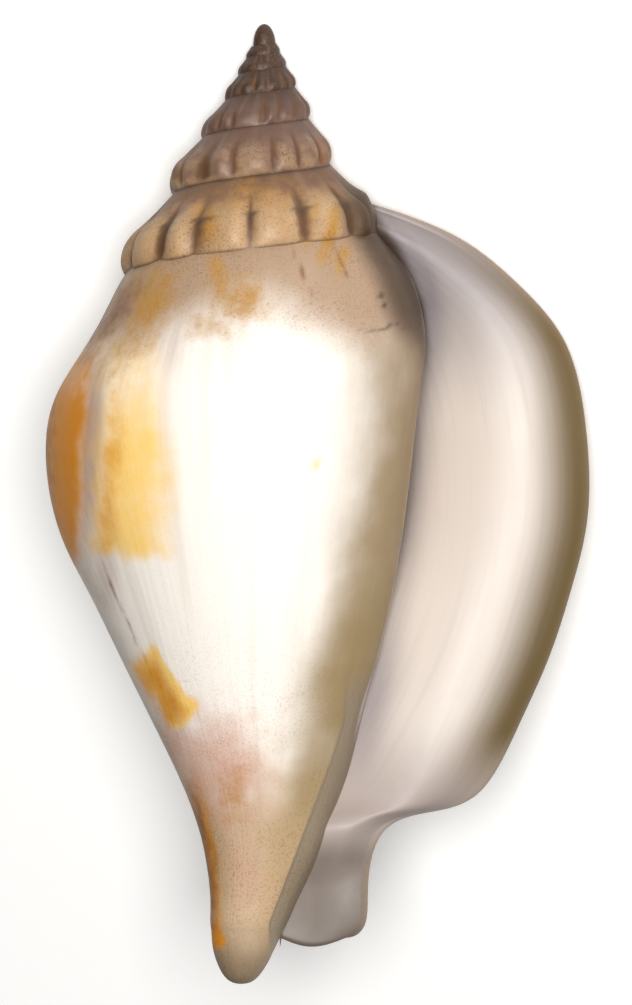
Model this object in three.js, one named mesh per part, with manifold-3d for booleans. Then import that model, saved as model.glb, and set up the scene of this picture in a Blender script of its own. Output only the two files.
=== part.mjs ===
// A conch shell, 75 mm long, lying on its back with the aperture up.
// It is built in the shell's own frame: y runs up the coiling axis from the anterior tip to the apex,
// x points to the outer lip and z out of the aperture. The finished shell is then laid on its back.
// Sizes are in millimetres. Angles are in turns of the spiral, from the lip's side by way of the front,
// unless a name says degrees.
import * as THREE from "three";
import { mergeVertices } from "three/addons/utils/BufferGeometryUtils.js";
import Module from "manifold-3d";

// The whole shell
const shellLength = 75;
const lipThickness = 2.0;
const wallThickness = 1.5;
const canalThickness = 1.3;
const thinFrom = 0.65; // level where the wall starts to thin towards the canal
const thinSpan = 0.15; // levels over which it does

// How it lies: rolled about its axis and then pitched, in degrees, until its hump and the ribs of
// its spire carry it, where it is worn flat
const restRoll = 26.3;
const restPitch = 28.4;
const restFlat = 0.3; // depth of the flat

// The spire, whose suture is a spiral about the axis: its place where the body whorl starts,
// on the lip's side, and how much it grows in a turn
const sutureRadius = 8.67;
const sutureDepth = 16.8; // below the apex
const radiusGrowth = 1.6;
const depthGrowth = 1.47;
const apexRadius = 0.6;
const spireTurns = 6;
const ribsPerTurn = 15;
const ribHeight = 0.035; // as a share of the whorl's radius

// A spire whorl from suture to suture: shares of the step out, of the step down and of the rib's
// height. A sloping ramp comes first, then an upright band that carries the ribs.
const whorlProfile = [
  [0, 0, 0],
  [0.28, 0.17, 0.1],
  [0.6, 0.37, 0.45],
  [0.93, 0.56, 1],
  [1.03, 0.76, 1],
  [1, 1, 0],
];
const ribFade = 0.36; // turns over which the ribs and the whorl itself sink under the lip
const sunkenShare = 0.8; // of its radius, where the spire ends inside the body

// The body whorl and the lip, station by station from the suture down to the canal.
// right and left are [radius, height] of the body on the lip's side and half a turn later;
// rim is [x, y, z] of the lip's edge; roll is how far the edge rolls back.
const stations = [
  { right: [8.0, 59.6], left: [9.9, 56.3], rim: [7.3, 61.3, -0.6], roll: 0.2 },
  { right: [9.3, 58.2], left: [11.2, 54.9], rim: [10.2, 60.4, -0.4], roll: 0.4 },
  { right: [11.2, 55.8], left: [12.9, 51.6], rim: [15.4, 58.2, -0.6], roll: 1.2 },
  { right: [12.2, 53.0], left: [15.0, 48.2], rim: [20.2, 54.4, -1.0], roll: 2.0 },
  { right: [12.5, 50.3], left: [16.7, 44.8], rim: [23.7, 49.9, -1.4], roll: 2.6 },
  { right: [12.1, 47.0], left: [17.0, 40.2], rim: [25.2, 43.6, -1.7], roll: 3.0 },
  { right: [11.5, 41.6], left: [15.9, 35.2], rim: [25.4, 36.9, -2.0], roll: 3.0 },
  { right: [10.75, 35.4], left: [13.9, 31.0], rim: [24.2, 31.2, -2.2], roll: 3.0 },
  { right: [9.6, 28.8], left: [11.8, 26.7], rim: [22.4, 25.6, -2.3], roll: 3.0 },
  { right: [8.2, 23.1], left: [9.6, 22.2], rim: [20.0, 20.2, -2.4], roll: 2.7 },
  { right: [6.8, 17.2], left: [7.0, 16.9], rim: [16.9, 14.9, -2.5], roll: 2.2 },
  { right: [5.6, 13.6], left: [5.5, 13.3], rim: [12.8, 13.3, -2.2], roll: 1.5 },
  { right: [4.7, 10.8], left: [4.7, 10.7], rim: [9.5, 12.0, -1.6], roll: 0.9 },
  { right: [3.95, 8.4], left: [3.95, 8.3], rim: [8.25, 9.0, -1.0], roll: 0.5 },
  { right: [3.4, 6.4], left: [3.4, 6.4], rim: [8.1, 6.4, -0.8], roll: 0.4 },
  { right: [3.1, 5.0], left: [3.1, 5.0], rim: [7.85, 4.5, -1.0], roll: 0.4 },
  { right: [2.85, 4.2], left: [2.85, 4.2], rim: [6.8, 3.4, -1.4], roll: 0.4 },
];
const growthInside = 0.65; // how fast the covered whorl grows beside the visible one
const growthBehind = 0.7; // and the body's back
const lipStart = 0.8; // where the outer wall leaves the spiral for the lip
const lipPinch = 0.06; // share of its radius by which the lip first keeps inside the body's circle
const lipSharpness = 6; // how late it then flares out: the power of its run
const spireSharpness = 1.5; // the same where it is narrower than the body, at the spire
const canalSharpness = 3; // and along the canal
const canalFrom = 0.45; // level where the lip starts to change to the canal's wall
const canalSpan = 0.2; // levels over which it does
const clearFrom = 0.9; // the lip counts as wider than the body from this share of its radius
const clearSpan = 0.25; // and fully so this much later
const rollStart = 0.66; // share of its run from which the lip rolls back
const bunching = 1.5; // how much closer its columns are near the rim
const callusThickness = 2.5; // which the lip gains where it meets the spire
const callusLevels = 0.22; // down to this level
const callusFade = 0.25; // share of the lip's run before the rim over which it thins out
const tuckedShare = 0.6; // of its radius, where the lip's upper end is hidden in the spire
const hollowEnd = 0.42; // how far back the hollow reaches
const widestLevel = 0.4; // where it is deepest
const closedGap = 0.3; // the hollow ends where it is narrower than this
const filledGap = 3; // and than this at the spire, where callus fills the corner
const leastRadius = 0.2; // of its inner wall
const leastTurn = 0.008; // between two of its columns

// The anterior tip, as radius and height. It leans to the left below the lean's height.
const leanHeight = 12;
const leanReach = 1.8;
const tipRings = [
  [2.5, 2.9],
  [2.05, 1.8],
  [1.45, 0.75],
  [0.75, 0.15],
];

// Mesh fineness
const spireColumns = 60; // a turn
const bodyColumns = 28;
const lipColumns = 13;
const rimColumns = 3;
const hollowColumns = 8;
const levelsPerStation = 2;
const lidDepth = 4; // of the cone that closes the spire, inside the body
const weldDistance = 0.001;
const nudge = 0.001; // share of the lip's run over which its direction is read
const slopeTurn = 0.1; // turns over which the suture's slope is read
const halvings = 20; // in the search for a radius
const pinchPeak = 4 / 27; // the most that share² × (1 - share) reaches

const clamp = (value) => Math.min(1, Math.max(0, value));
const smooth = (value) => clamp(value) ** 2 * (3 - 2 * clamp(value));
const lerp = (from, to, share) => from + (to - from) * share;
const lean = (y) => -leanReach * smooth((leanHeight - y) / leanHeight);

function aboutAxis(turn, radius, y) {
  const angle = 2 * Math.PI * turn;
  return [radius * Math.cos(angle) + lean(y), y, radius * Math.sin(angle)];
}

// A smooth curve through rows of numbers, read at a share of its whole run
function through(rows, share) {
  const last = rows.length - 1;
  const place = clamp(share) * last;
  const i = Math.min(last - 1, Math.floor(place));
  const t = place - i;
  const rowAt = (n) => rows[Math.min(last, Math.max(0, n))];
  const [before, from, to, after] = [i - 1, i, i + 1, i + 2].map(rowAt);
  return from.map((value, k) => {
    const rise = to[k] - value;
    const slopeIn = (to[k] - before[k]) / 2;
    const slopeOut = (after[k] - value) / 2;
    const cubic = slopeIn + slopeOut - 2 * rise;
    const square = rise - slopeIn - cubic;
    return value + t * (slopeIn + t * (square + t * cubic));
  });
}

const rightRows = stations.map((station) => station.right);
const leftRows = stations.map((station) => station.left);
const rimRows = stations.map((station) => [...station.rim, station.roll]);

function growthShare(turn) {
  if (turn < 0) return 2 * growthInside * turn;
  if (turn < 0.5) return 2 * turn;
  return 1 + 2 * growthBehind * (turn - 0.5);
}

// Radius and height of the body at a turn and a level, 0 at the suture and 1 at the canal
function bodySection(turn, level) {
  const [rightRadius, rightY] = through(rightRows, level);
  const [leftRadius, leftY] = through(leftRows, level);
  return [rightRadius * (leftRadius / rightRadius) ** growthShare(turn), lerp(rightY, leftY, 2 * turn)];
}

// The covered whorl's radius at a height, which is the hollow's inner wall
function coveredRadius(turn, y) {
  let [above, below] = [0, 1];
  for (let step = 0; step < halvings; step += 1) {
    const level = (above + below) / 2;
    if (bodySection(turn, level)[1] > y) above = level;
    else below = level;
  }
  return bodySection(turn, above)[0];
}

function thicknessAt(level) {
  return lerp(lipThickness, canalThickness, smooth((level - thinFrom) / thinSpan));
}

// The lip at a level, seen down the axis: it keeps the body's circle, flares out and rolls back
function lipSection(level) {
  const [startRadius, startY] = bodySection(lipStart, level);
  const [rimX, rimY, rimZ, roll] = through(rimRows, level);
  const half = thicknessAt(level) / 2;
  const axisX = lean(startY);
  const startAngle = 2 * Math.PI * (lipStart - 1);
  const end = new THREE.Vector2(rimX - half - axisX, rimZ - half + roll);
  const flared = lerp(lipSharpness, canalSharpness, smooth((level - canalFrom) / canalSpan));
  const clear = smooth((end.length() / startRadius - clearFrom) / clearSpan);
  const sharpness = lerp(spireSharpness, flared, clear);
  const laterY = bodySection(lipStart + slopeTurn, level)[1];
  const slope = ((laterY - startY) / slopeTurn) * (1 - lipStart);
  const place = (share) => {
    const pinch = 1 - (lipPinch / pinchPeak) * share ** 2 * (1 - share);
    const radius = startRadius * pinch + (end.length() - startRadius) * share ** sharpness;
    const angle = lerp(startAngle, Math.atan2(end.y, end.x), share);
    const rolled = roll * Math.max(0, (share - rollStart) / (1 - rollStart)) ** 2;
    return new THREE.Vector2(axisX + radius * Math.cos(angle), radius * Math.sin(angle) - rolled);
  };
  const at = (run) => {
    const share = 1 - (1 - run) ** bunching;
    const flat = place(share);
    const tangent = place(share + nudge).sub(place(share - nudge)).normalize();
    return { flat, tangent, y: lerp(startY, rimY, smooth(share)) + slope * share * (1 - share) ** 2 };
  };
  // The rounded edge then reaches out exactly to the rim
  end.x += at(1).tangent.y * half;
  const { flat, tangent: outwards } = at(1);
  const ventral = new THREE.Vector2(-outwards.y, outwards.x);
  const centre = flat.clone().addScaledVector(ventral, half);
  return { at, centre, outwards, ventral, half, rimY };
}

// One level's outline, from the lip's side round the front and back to the rim, then back into
// the hollow along the inside of the lip and out again along the covered whorl
function outline(level) {
  const points = [];
  for (let i = 0; i <= bodyColumns; i += 1) {
    const turn = (lipStart * i) / bodyColumns;
    points.push(aboutAxis(turn, ...bodySection(turn, level)));
  }
  const lip = lipSection(level);
  for (let i = 1; i <= lipColumns; i += 1) {
    const { flat, y } = lip.at(i / lipColumns);
    const tucked = level === 0 ? tuckedShare : 1;
    points.push([flat.x * tucked, y, flat.y * tucked]);
  }
  for (let i = 1; i < rimColumns; i += 1) {
    const angle = (Math.PI * i) / rimColumns;
    const at = lip.centre.clone().addScaledVector(lip.ventral, -lip.half * Math.cos(angle));
    at.addScaledVector(lip.outwards, lip.half * Math.sin(angle));
    points.push([at.x, lip.rimY, at.y]);
  }
  const inner = [];
  for (let i = lipColumns; i > 0; i -= 1) {
    const share = i / lipColumns;
    const { flat, tangent, y } = lip.at(share);
    const spread = smooth(1 - level / callusLevels) * smooth((1 - share) / callusFade);
    const callus = callusThickness * spread;
    const thick = lerp(Math.min(wallThickness, 2 * lip.half), 2 * lip.half, share) + callus;
    const place = [flat.x - tangent.y * thick, y, flat.y + tangent.x * thick];
    inner.push([place, Math.atan2(place[2], place[0] - lean(y)) / (2 * Math.PI)]);
  }
  for (let i = 0; i <= hollowColumns; i += 1) {
    const turn = lerp(lipStart, hollowEnd, i / hollowColumns);
    const [radius, y] = bodySection(turn, level);
    const thick = Math.min(wallThickness, 2 * lip.half);
    inner.push([aboutAxis(turn, Math.max(leastRadius, radius - thick), y), turn - 1]);
  }
  // The covered whorl faces each of these points across the hollow, which is closed from the
  // first pair that comes too near
  let turn = 0;
  let closedFrom = level === 0 ? 0 : inner.length;
  const pairs = inner.map(([place, at], i) => {
    turn = i === 0 ? 0 : Math.min(at, turn - leastTurn);
    const y = i === 0 ? bodySection(0, level)[1] : place[1];
    const radius = coveredRadius(turn, y);
    const facing = i === 0 ? points[0] : aboutAxis(turn, radius, y);
    const reach = Math.hypot(place[0] - lean(y), place[2]);
    const least = i === 0 ? closedGap : lerp(filledGap, closedGap, smooth(level / callusLevels));
    if (reach - radius < least) closedFrom = Math.min(closedFrom, i);
    const joined = i === 0 ? facing : aboutAxis(turn, Math.min(reach, radius), y);
    return { place, facing, joined };
  });
  return { outer: points, pairs, closedFrom };
}

// A closed solid from corner positions and triangles. Two faces that lie back to back, where the
// hollow has closed, cancel out.
const wasm = await Module();
wasm.setup();

function solidOf(geometry) {
  geometry.deleteAttribute("normal");
  geometry.deleteAttribute("uv");
  const merged = mergeVertices(geometry, weldDistance);
  const faces = new Map();
  const index = merged.index.array;
  for (let i = 0; i < index.length; i += 3) {
    const face = [index[i], index[i + 1], index[i + 2]];
    if (new Set(face).size < 3) continue;
    const key = [...face].sort((a, b) => a - b).join();
    if (faces.has(key)) faces.delete(key);
    else faces.set(key, face);
  }
  const mesh = new wasm.Mesh({
    numProp: 3,
    vertProperties: Float32Array.from(merged.attributes.position.array),
    triVerts: Uint32Array.from([...faces.values()].flat()),
  });
  return new wasm.Manifold(mesh);
}

function solid(positions, triangles) {
  const loose = new THREE.BufferGeometry();
  loose.setAttribute("position", new THREE.Float32BufferAttribute(positions.flat(), 3));
  loose.setIndex(triangles.flat());
  return solidOf(loose);
}

function bodySolid() {
  const levels = (stations.length - 1) * levelsPerStation;
  const positions = [];
  const triangles = [];
  const add = (place) => positions.push(place) - 1;
  const outlines = Array.from({ length: levels + 1 }, (_, k) => outline(k / levels));
  // Above and below its widest level, the hollow only narrows
  const narrower = (k, beside) => {
    outlines[k].closedFrom = Math.min(outlines[k].closedFrom, outlines[beside].closedFrom);
  };
  const widest = Math.round(widestLevel * levels);
  for (let k = widest - 1; k >= 0; k -= 1) narrower(k, k + 1);
  for (let k = widest + 1; k <= levels; k += 1) narrower(k, k - 1);
  const rows = outlines.map(({ outer, pairs, closedFrom }) => {
    const inner = pairs.map(({ place, joined }, i) => (i < closedFrom ? place : joined));
    const covered = pairs.map(({ facing, joined }, i) => (i < closedFrom ? facing : joined));
    return [...outer, ...inner, ...covered.slice(1).reverse()].map(add);
  });
  const outerCount = bodyColumns + lipColumns + rimColumns;
  const innerCount = lipColumns + hollowColumns + 1;
  const count = rows[0].length;
  for (let k = 0; k < levels; k += 1) {
    for (let i = 0; i < count; i += 1) {
      const [a, b] = [rows[k][i], rows[k][(i + 1) % count]];
      const [d, c] = [rows[k + 1][i], rows[k + 1][(i + 1) % count]];
      if (i < outerCount + innerCount - 1) triangles.push([a, b, c], [a, c, d]);
      else triangles.push([a, b, d], [b, c, d]);
    }
  }
  // The top, which the spire covers
  const top = rows[0].slice(0, outerCount);
  const crown = add([0, stations[0].left[1], 0]);
  top.forEach((id, i) => triangles.push([crown, top[(i + 1) % top.length], id]));
  // The lower edge of the canal's wall, and the ring of the tip beside it
  const foot = rows[levels];
  const closed = outlines[levels].closedFrom;
  const edge = foot.slice(bodyColumns, outerCount + closed + 1);
  const flat = edge.map((id) => new THREE.Vector2(positions[id][0], positions[id][2]));
  THREE.ShapeUtils.triangulateShape(flat, []).forEach(([i, j, k]) => {
    const first = flat[j].clone().sub(flat[i]);
    const second = flat[k].clone().sub(flat[i]);
    const others = first.cross(second) < 0 ? [edge[k], edge[j]] : [edge[j], edge[k]];
    triangles.push([edge[i], ...others]);
  });
  let ring = [...foot.slice(0, bodyColumns + 1), ...foot.slice(foot.length - closed)];
  const angles = ring.map((id) => {
    const [x, y, z] = positions[id];
    return Math.atan2(z, x - lean(y)) / (2 * Math.PI);
  });
  tipRings.forEach(([radius, y]) => {
    const next = angles.map((angle) => add(aboutAxis(angle, radius, y)));
    next.forEach((c, i) => {
      const j = (i + 1) % next.length;
      triangles.push([ring[i], ring[j], next[j]], [ring[i], next[j], c]);
    });
    ring = next;
  });
  const pole = add([lean(0), 0, 0]);
  ring.forEach((id, i) => triangles.push([id, ring[(i + 1) % ring.length], pole]));
  return solid(positions, triangles);
}

function suture(turn) {
  const radius = lerp(apexRadius, sutureRadius, radiusGrowth ** turn);
  return [radius, shellLength - sutureDepth * depthGrowth ** turn];
}

function spireSolid() {
  const positions = [];
  const triangles = [];
  const add = (place) => positions.push(place) - 1;
  const columns = spireTurns * spireColumns;
  const bands = whorlProfile.length - 1;
  const grid = [];
  for (let i = 0; i <= columns; i += 1) {
    const turn = i / spireColumns - spireTurns;
    const [topRadius, topY] = suture(turn);
    const [baseRadius, baseY] = suture(turn + 1);
    const fade = smooth(-turn / ribFade);
    const rib = ribHeight * fade * Math.cos(2 * Math.PI * ribsPerTurn * turn);
    const column = whorlProfile.map(([out, down, ribShare], v) => {
      if (v === 0 && i >= spireColumns) return grid[i - spireColumns][bands];
      const sink = lerp(sunkenShare, 1, v === bands || v > 0 ? fade : 1);
      const radius = lerp(topRadius, baseRadius, out) * (1 + rib * ribShare) * sink;
      return add(aboutAxis(turn, radius, lerp(topY, baseY, down)));
    });
    grid.push(column);
  }
  for (let i = 0; i < columns; i += 1) {
    for (let v = 0; v < bands; v += 1) {
      const [a, b, c, d] = [grid[i][v], grid[i + 1][v], grid[i + 1][v + 1], grid[i][v + 1]];
      triangles.push([a, b, c], [a, c, d]);
    }
  }
  // The apex over the first whorl, and the lid under the last
  const apex = add([0, shellLength, 0]);
  for (let i = 0; i < spireColumns; i += 1) triangles.push([apex, grid[i + 1][0], grid[i][0]]);
  for (let v = 0; v < bands; v += 1) triangles.push([apex, grid[0][v], grid[0][v + 1]]);
  const middle = add([0, suture(0)[1] - lidDepth, 0]);
  for (let i = columns - spireColumns; i < columns; i += 1) {
    triangles.push([middle, grid[i][bands], grid[i + 1][bands]]);
  }
  for (let v = 0; v < bands; v += 1) triangles.push([middle, grid[columns][v + 1], grid[columns][v]]);
  return solid(positions, triangles);
}

function geometryOf(manifold) {
  const { vertProperties, triVerts } = manifold.getMesh();
  const geometry = new THREE.BufferGeometry();
  geometry.setAttribute("position", new THREE.Float32BufferAttribute(vertProperties, 3));
  geometry.setIndex([...triVerts]);
  return geometry;
}

// The flat is cut in the shell's own frame, by a block turned the way the ground lies
const { degToRad } = THREE.MathUtils;
const restAngles = new THREE.Euler(-degToRad(restPitch), degToRad(restRoll), 0);
const rest = new THREE.Matrix4().makeRotationFromEuler(restAngles);
const whole = spireSolid().add(bodySolid());
const lying = geometryOf(whole).applyMatrix4(rest);
lying.computeBoundingBox();
const ground = new THREE.BoxGeometry(2 * shellLength, 2 * shellLength, 2 * restFlat);
ground.translate(0, 0, lying.boundingBox.min.z).applyMatrix4(rest.clone().invert());
const shell = geometryOf(whole.subtract(solidOf(ground)));
shell.computeVertexNormals();

const porcelain = new THREE.MeshStandardMaterial({ color: 0xe6d9c8, roughness: 0.3, metalness: 0 });
const conchShell = new THREE.Mesh(shell, porcelain);
conchShell.name = "conch_shell";
conchShell.rotation.setFromRotationMatrix(rest);

// The origin is under the middle of the shell, on the ground
const box = new THREE.Box3().setFromObject(conchShell, true);
const middle = box.getCenter(new THREE.Vector3());
conchShell.position.set(-middle.x, -middle.y, -box.min.z);
const conch = new THREE.Group();
conch.add(conchShell);
export default conch;
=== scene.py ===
import math
from functools import partial

import bpy
import numpy as np
from mathutils import Matrix, Vector


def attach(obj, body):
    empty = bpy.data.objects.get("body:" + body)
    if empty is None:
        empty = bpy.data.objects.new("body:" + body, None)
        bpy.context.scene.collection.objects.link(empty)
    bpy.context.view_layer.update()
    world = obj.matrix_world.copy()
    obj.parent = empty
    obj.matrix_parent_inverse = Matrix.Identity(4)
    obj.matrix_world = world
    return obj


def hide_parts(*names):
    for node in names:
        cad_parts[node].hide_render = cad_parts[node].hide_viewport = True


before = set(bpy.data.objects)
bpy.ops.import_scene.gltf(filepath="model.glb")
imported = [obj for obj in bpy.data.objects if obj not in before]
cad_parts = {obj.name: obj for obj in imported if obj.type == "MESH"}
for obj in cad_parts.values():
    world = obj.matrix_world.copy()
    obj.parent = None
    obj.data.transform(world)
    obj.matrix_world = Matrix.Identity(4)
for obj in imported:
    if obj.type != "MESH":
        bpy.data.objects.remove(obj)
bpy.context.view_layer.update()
print("frame loaded")

# Everything is shaped in the shell's own frame, in millimetres: y runs up the coiling axis from
# the anterior tip to the apex, x points to the outer lip and z out of the aperture. A turn of the
# spiral starts at the lip's side and goes by way of the front.

shellSizes = {
    "length": 75.0,
    "leanHeight": 12.0,  # below this the tip leans to the left
    "leanReach": 1.8,
    "spireLean": 0.45,  # the spire's middle stands a little to the left of the axis
    "spireLeanHeight": 64.5,
    "spireLeanSpread": 3.5,
    "restRoll": 26.3,  # degrees, how it lies on its back
    "restPitch": 28.4,
    "restFlat": 0.3,  # the worn flat on its hump
}

spireSizes = {
    "sutureRadius": 8.67,  # where the body whorl starts, on the lip's side
    "sutureDepth": 16.3,
    "radiusGrowth": 1.6,  # in a turn
    "depthGrowth": 1.49,
    "apexRadius": 0.42,
    "turns": 6,
    "ribsPerTurn": 14.5,
    "ribPhase": 0.22,  # share of a rib
    "ribHeight": 0.042,  # share of the whorl's radius
    "ribWander": 4.6,  # radians by which a rib may stand out of step
    "wanderRate": 11.0,  # how often that changes in a turn
    "ribTops": 0.5,  # below 1 the ribs are broad knobs with narrow grooves
    "ribRange": (1.8, -1.0),  # from groove to top, and the groove, against the rib's height
    "ribStrength": (0.8, 0.6),  # how far it varies from rib to rib, and the least
    "firstRibs": -5.6,  # the turn where ribs begin, and where they are full
    "fullRibs": -3.6,
    "ribFade": 0.36,  # turns over which the last whorl sinks under the lip
    "sunkenShare": 0.8,  # of its radius, at its end
    "columnsPerTurn": 150,
    "rows": 26,
    "seed": 4,
    "crown": (0.86, 1.6, 0.86),  # half sizes of the rounded first whorl
    "crownHeight": 73.4,
    "crownFaces": (40, 24),
    "sutureShadeFades": (0.03, 0.035),  # share of a whorl over which the painted suture shade fades, at its two sides
    "sutureShadeGap": 0.16,  # the same in millimetres, where the last whorl meets the body
    "growthScale": 60.0,  # steps in a turn for the growth lines, and across a whorl
    "growthAcross": 6.0,
}

# Share across the whorl, from suture to suture, against the step out, step down and rib height
spireCurves = {
    "out": [(0, 0), (0.17, 0.22), (0.38, 0.53), (0.56, 0.84), (0.68, 0.96), (0.8, 1.0), (0.93, 1.0),
            (1, 0.98)],
    "down": [(0, 0), (0.25, 0.21), (0.5, 0.46), (0.75, 0.75), (1, 1)],
    "rib": [(0, 0), (0.1, 0.06), (0.34, 0.5), (0.54, 0.92), (0.66, 1), (0.8, 0.95), (0.91, 0.5),
            (0.98, 0.08), (1, 0)],
}

# From the suture down to the canal: [radius, height] of the body on the lip's side and half a turn
# later, [x, y, z] of the lip's rim, and how far and over what width the rim rolls back
bodyStations = [
    [8.0, 59.6, 9.9, 56.3, 7.3, 61.3, -0.6, 0.2, 2.0],
    [9.3, 58.2, 11.2, 54.9, 10.2, 60.4, -0.4, 0.5, 3.0],
    [11.2, 55.8, 12.9, 51.6, 15.4, 58.2, -0.6, 1.0, 4.0],
    [12.2, 53.0, 15.0, 48.2, 20.2, 54.4, -1.0, 1.5, 4.6],
    [12.5, 50.3, 16.7, 44.8, 23.7, 49.9, -1.4, 2.0, 5.0],
    [12.1, 47.0, 17.0, 40.2, 25.2, 43.6, -1.7, 2.3, 5.4],
    [11.5, 41.6, 15.9, 35.2, 25.4, 36.9, -2.0, 2.5, 5.6],
    [10.75, 35.4, 13.9, 31.0, 24.2, 31.2, -2.2, 2.7, 5.8],
    [9.6, 28.8, 11.8, 26.7, 22.4, 25.6, -2.3, 2.8, 6.0],
    [8.2, 23.1, 9.6, 22.2, 20.0, 20.2, -2.4, 2.6, 6.0],
    [6.8, 17.2, 7.0, 16.9, 16.9, 14.9, -2.5, 2.1, 5.6],
    [5.6, 13.6, 5.5, 13.3, 12.8, 13.3, -2.2, 1.5, 4.8],
    [4.7, 10.8, 4.7, 10.7, 9.5, 12.0, -1.6, 1.1, 3.6],
    [3.95, 8.4, 3.95, 8.3, 8.25, 9.0, -1.0, 0.8, 3.0],
    [3.4, 6.4, 3.4, 6.4, 8.1, 6.4, -0.8, 0.7, 2.6],
    [3.1, 5.0, 3.1, 5.0, 7.85, 4.5, -1.0, 0.7, 2.6],
    [2.85, 4.2, 2.85, 4.2, 6.9, 3.5, -1.4, 0.7, 2.6],
]

bodySizes = {
    "growthInside": 0.65,  # how fast the covered whorl grows beside the visible one
    "growthBehind": 0.7,
    "lipStart": 0.8,  # turn at which the outer wall leaves the spiral
    "lipPinch": 1.35,  # how far it first keeps inside the body's circle
    "lipSharpness": 6.0,  # how late it flares out
    "spireSharpness": 1.5,
    "canalSharpness": 3.0,
    "canalFrom": 0.45,  # share of the way down, and the span over which the lip changes
    "canalSpan": 0.2,
    "clearFrom": 0.9,  # body radii at which the rim stands clear of the body, and their span
    "clearSpan": 0.25,
    "bunching": 1.5,  # above 1 the lip's columns stand closer together at its rim
    "lipThickness": 2.0,
    "canalThickness": 1.3,
    "thinFrom": 0.65,
    "thinSpan": 0.15,
    "wallThickness": 1.5,
    "callusThickness": 2.5,
    "callusLevels": 0.22,
    "parietalThickness": 1.6,  # glaze that fills the angle between the lip and the body
    "parietalRise": 0.4,  # share of the lip, from the body, over which it thickens
    "parietalEnd": 0.85,  # share of the way down, and the span before it
    "parietalSpan": 0.125,
    "rimFade": 0.25,  # share of the lip over which callus and glaze thin out to the rim
    "tuckedShare": 0.6,  # the lip's top is tucked in under the spire
    "tuckedLevels": 0.012,
    "hollowEnd": 0.42,  # turn at which the hollow behind the aperture ends
    "hollowLeast": 0.2,
    "edgeLevels": 0.025,  # the lip's lower edge is rounded off over these
    "edgeLeast": 0.004,  # so that its last faces keep some width
    "lobeLevels": 0.1,
    "lobeSag": 0.7,  # how far the canal's lobe bulges below its ends
    "tipRings": [(2.85, 4.2), (2.5, 2.9), (2.05, 1.8), (1.45, 0.75), (0.75, 0.15), (0.0, 0.0)],
    "levelsPerStation": 13,
    "bodyColumns": 124,
    "lipColumns": 48,
    "rimColumns": 8,
    "hollowColumns": 20,
    "tipSteps": 16,
    "growthScale": 90.0,  # growth lines are laid out with this many steps in a turn
    "underLip": 0.5,  # what the attribute "inside" holds on the body's face under the lip
}

# The callus that the body keeps beside the aperture: [x, y] down its edges
callusSizes = {
    "ridge": [(7.5, 61.4), (8.0, 58.9), (8.9, 57.3), (10.0, 55.2), (10.9, 52.7), (11.7, 49.6)],
    "limb": [(8.9, 60.4), (9.7, 59.1), (10.8, 57.6), (11.9, 55.3), (12.7, 53.1), (13.0, 49.6)],
    "ridgeHeight": 0.4,
    "ridgeWidth": 0.55,
    "ridgeFade": 5.0,
    "crease": [(6.4, 20.8), (5.2, 17.2), (2.9, 11.2), (0.5, 4.9)],
    "creaseDepth": 0.3,
    "creaseWidth": 0.45,
    "creaseFade": 5.0,
}


def clamp(value):
    return np.clip(value, 0.0, 1.0)


def smooth(value):
    value = clamp(value)
    return value * value * (3 - 2 * value)


def lerp(start, end, share):
    return start + (end - start) * share


def bell(value):
    return np.exp(-value ** 2)


def lean(y):
    tip = -shellSizes["leanReach"] * smooth((shellSizes["leanHeight"] - y) / shellSizes["leanHeight"])
    middle = bell((y - shellSizes["spireLeanHeight"]) / shellSizes["spireLeanSpread"])
    return tip - shellSizes["spireLean"] * middle


def splineThrough(rows):
    # a natural cubic through evenly spaced rows, read at a share of its whole run
    rows = np.array(rows, float)
    last = len(rows) - 1
    bend = np.zeros_like(rows)
    matrix = np.diag([4.0] * (last - 1)) + np.diag([1.0] * (last - 2), 1) + np.diag([1.0] * (last - 2), -1)
    bend[1:-1] = np.linalg.solve(matrix, 6 * (rows[2:] - 2 * rows[1:-1] + rows[:-2]))

    def read(share):
        place = clamp(np.asarray(share, float)) * last
        i = np.minimum(last - 1, np.floor(place).astype(int))
        t = (place - i)[..., None]
        s = 1 - t
        curved = (s ** 3 - s) * bend[i] + (t ** 3 - t) * bend[i + 1]
        return s * rows[i] + t * rows[i + 1] + curved / 6

    return read


stationAt = splineThrough(bodyStations)


def growthShare(turn):
    inside = 2 * bodySizes["growthInside"] * turn
    behind = 1 + 2 * bodySizes["growthBehind"] * (turn - 0.5)
    return np.where(turn < 0, inside, np.where(turn < 0.5, 2 * turn, behind))


def bodySection(turn, level):
    station = stationAt(level)
    rightRadius, rightY, leftRadius, leftY = (station[..., k] for k in range(4))
    return rightRadius * (leftRadius / rightRadius) ** growthShare(turn), lerp(rightY, leftY, 2 * turn)


def bodyRadius(turn, y):
    # the body's radius at a height, found by halving
    above = np.zeros_like(y)
    below = np.ones_like(y)
    for step in range(24):
        level = (above + below) / 2
        higher = bodySection(turn, level)[1] > y
        above = np.where(higher, level, above)
        below = np.where(higher, below, level)
    return bodySection(turn, above)[0]


def aboutAxis(turn, radius, y):
    angle = 2 * np.pi * turn
    return np.stack([radius * np.cos(angle) + lean(y), y + 0 * angle, radius * np.sin(angle)], axis=-1)


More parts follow.
